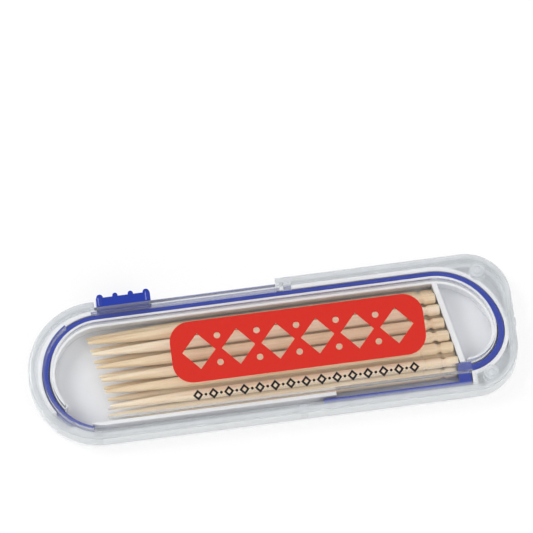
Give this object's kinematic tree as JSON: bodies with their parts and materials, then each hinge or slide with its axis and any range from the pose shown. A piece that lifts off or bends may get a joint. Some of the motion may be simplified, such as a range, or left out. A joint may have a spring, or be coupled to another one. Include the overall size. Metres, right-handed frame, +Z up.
{
  "type": "toothpick dispenser",
  "caption": "Pocket toothpick dispenser: flat case with a clear cover, filled with turned toothpicks; a thumb slide drives a strip round a track and pushes one out of the round end.",
  "frame": {"origin": "on the flat back that the case lies on, at the middle of the case's outline", "axes": "+X along the case to its squared end, +Y to the long edge with the thumb slide, +Z up to the clear cover"},
  "size_m": [0.091, 0.0274, 0.009],
  "materials": {
    "white_shell": "glossy moulded white styrene",
    "clear_cover": "clear moulded styrene, printed with a red panel on its outer face",
    "blue_slide": "blue flexible polypropylene",
    "toothpick_wood": "plain turned birch"
  },
  "bodies": {
    "case": {"back_shell": "white_shell", "clear_cover": "clear_cover", "strip_round_bend": "blue_slide", "strip_round_feed": "blue_slide", "strip_square_feed": "blue_slide", "strip_square_bend": "blue_slide", "strip_lane_feed": "blue_slide", "toothpick_01": "toothpick_wood", "toothpick_02": "toothpick_wood", "toothpick_03": "toothpick_wood", "toothpick_04": "toothpick_wood", "toothpick_05": "toothpick_wood", "toothpick_06": "toothpick_wood", "toothpick_07": "toothpick_wood", "toothpick_08": "toothpick_wood", "toothpick_09": "toothpick_wood", "toothpick_10": "toothpick_wood", "toothpick_11": "toothpick_wood", "toothpick_12": "toothpick_wood"},
    "slide": {"thumb_button": "blue_slide", "strip_top_run": "blue_slide"},
    "gate": {"exit_gate": "blue_slide"},
    "pusher": {"pusher_head": "blue_slide", "guide_bar": "blue_slide"},
    "next_pick": {"toothpick_next": "toothpick_wood"}
  },
  "joints": [
    {"name": "thumb_slide", "type": "slide", "parent": "case", "child": "slide", "axis": [1, 0, 0], "range_m": [0, 0.0227], "deforming": ["strip_round_feed", "strip_square_feed"]},
    {"name": "gate_turn", "type": "hinge", "parent": "case", "child": "gate", "pos_m": [-0.03155, 0, 0.0031], "axis": [0, 0, -1], "range_deg": [0, 123.95], "deforming": ["strip_round_bend"]},
    {"name": "pusher_slide", "type": "slide", "parent": "case", "child": "pusher", "axis": [-1, 0, 0], "range_m": [0, 0.0227], "deforming": ["strip_lane_feed"]},
    {"name": "next_pick_slide", "type": "slide", "parent": "case", "child": "next_pick", "axis": [-1, 0, 0], "range_m": [0, 0.0227]}
  ],
  "couplings": [
    {"joint": "gate_turn", "follows": "thumb_slide", "rad_per_m": 95.238},
    {"joint": "pusher_slide", "follows": "thumb_slide", "ratio": 1},
    {"joint": "next_pick_slide", "follows": "thumb_slide", "ratio": 1}
  ]
}
